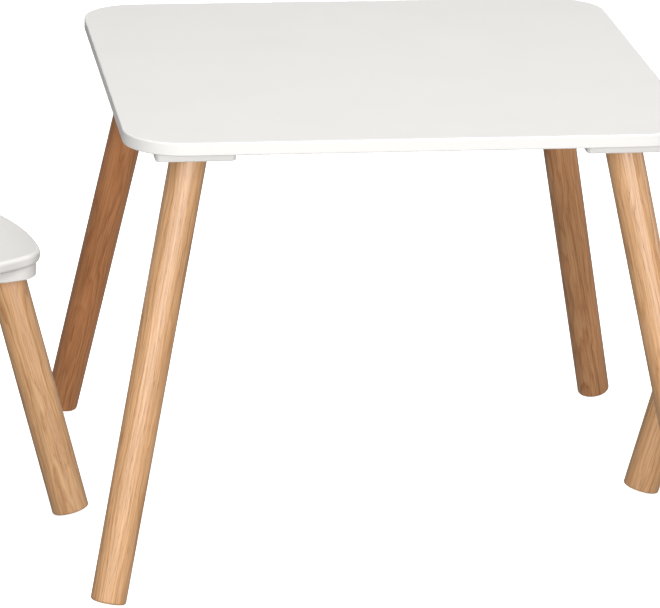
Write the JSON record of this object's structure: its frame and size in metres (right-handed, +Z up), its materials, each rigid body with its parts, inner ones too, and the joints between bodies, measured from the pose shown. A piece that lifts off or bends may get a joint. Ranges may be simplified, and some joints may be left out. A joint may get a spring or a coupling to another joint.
{
  "type": "kids table and chairs",
  "caption": "Low square play table with rounded corners on splayed round wooden legs, with matching small chairs that are pushed in and pulled out over the floor.",
  "frame": {"origin": "middle of the table on the floor, which is also the middle of the set's footprint", "axes": "+Z up, the table's front is -Y, the chairs stand beside it at -X and +X"},
  "size_m": [1.5108, 0.6776, 0.5197],
  "materials": {
    "white_lacquered_board": "satin white lacquer on fibreboard",
    "oiled_wood": "light hardwood, clear satin oil",
    "zinc_plated_steel": "zinc plated",
    "brass_insert": "plain",
    "white_plastic_cap": "matt white"
  },
  "bodies": {
    "table": {"table_block_front_left": "white_lacquered_board", "table_block_front_right": "white_lacquered_board", "table_block_rear_left": "white_lacquered_board", "table_block_rear_right": "white_lacquered_board", "table_block_screws": "zinc_plated_steel", "table_insert_nuts": "brass_insert", "table_leg_bolts": "zinc_plated_steel", "table_leg_front_left": "oiled_wood", "table_leg_front_right": "oiled_wood", "table_leg_rear_left": "oiled_wood", "table_leg_rear_right": "oiled_wood", "table_top": "white_lacquered_board"},
    "left_chair": {"left_chair_backrest": "white_lacquered_board", "left_chair_backrest_screws": "zinc_plated_steel", "left_chair_block_front_left": "white_lacquered_board", "left_chair_block_front_right": "white_lacquered_board", "left_chair_block_rear_left": "white_lacquered_board", "left_chair_block_rear_right": "white_lacquered_board", "left_chair_block_screws": "zinc_plated_steel", "left_chair_insert_nuts": "brass_insert", "left_chair_leg_bolts": "zinc_plated_steel", "left_chair_leg_front_left": "oiled_wood", "left_chair_leg_front_right": "oiled_wood", "left_chair_leg_rear_left": "oiled_wood", "left_chair_leg_rear_right": "oiled_wood", "left_chair_post_left": "oiled_wood", "left_chair_post_right": "oiled_wood", "left_chair_post_screws": "zinc_plated_steel", "left_chair_screw_caps": "white_plastic_cap", "left_chair_seat": "white_lacquered_board"},
    "right_chair": {"right_chair_backrest": "white_lacquered_board", "right_chair_backrest_screws": "zinc_plated_steel", "right_chair_block_front_left": "white_lacquered_board", "right_chair_block_front_right": "white_lacquered_board", "right_chair_block_rear_left": "white_lacquered_board", "right_chair_block_rear_right": "white_lacquered_board", "right_chair_block_screws": "zinc_plated_steel", "right_chair_insert_nuts": "brass_insert", "right_chair_leg_bolts": "zinc_plated_steel", "right_chair_leg_front_left": "oiled_wood", "right_chair_leg_front_right": "oiled_wood", "right_chair_leg_rear_left": "oiled_wood", "right_chair_leg_rear_right": "oiled_wood", "right_chair_post_left": "oiled_wood", "right_chair_post_right": "oiled_wood", "right_chair_post_screws": "zinc_plated_steel", "right_chair_screw_caps": "white_plastic_cap", "right_chair_seat": "white_lacquered_board"}
  },
  "joints": [
    {"name": "left_chair_slide", "type": "slide", "parent": "table", "child": "left_chair", "axis": [-0.9265, -0.3762, 0], "range_m": [-0.11, 0.3]},
    {"name": "right_chair_slide", "type": "slide", "parent": "table", "child": "right_chair", "axis": [0.7944, -0.6074, 0], "range_m": [-0.15, 0.3]}
  ]
}
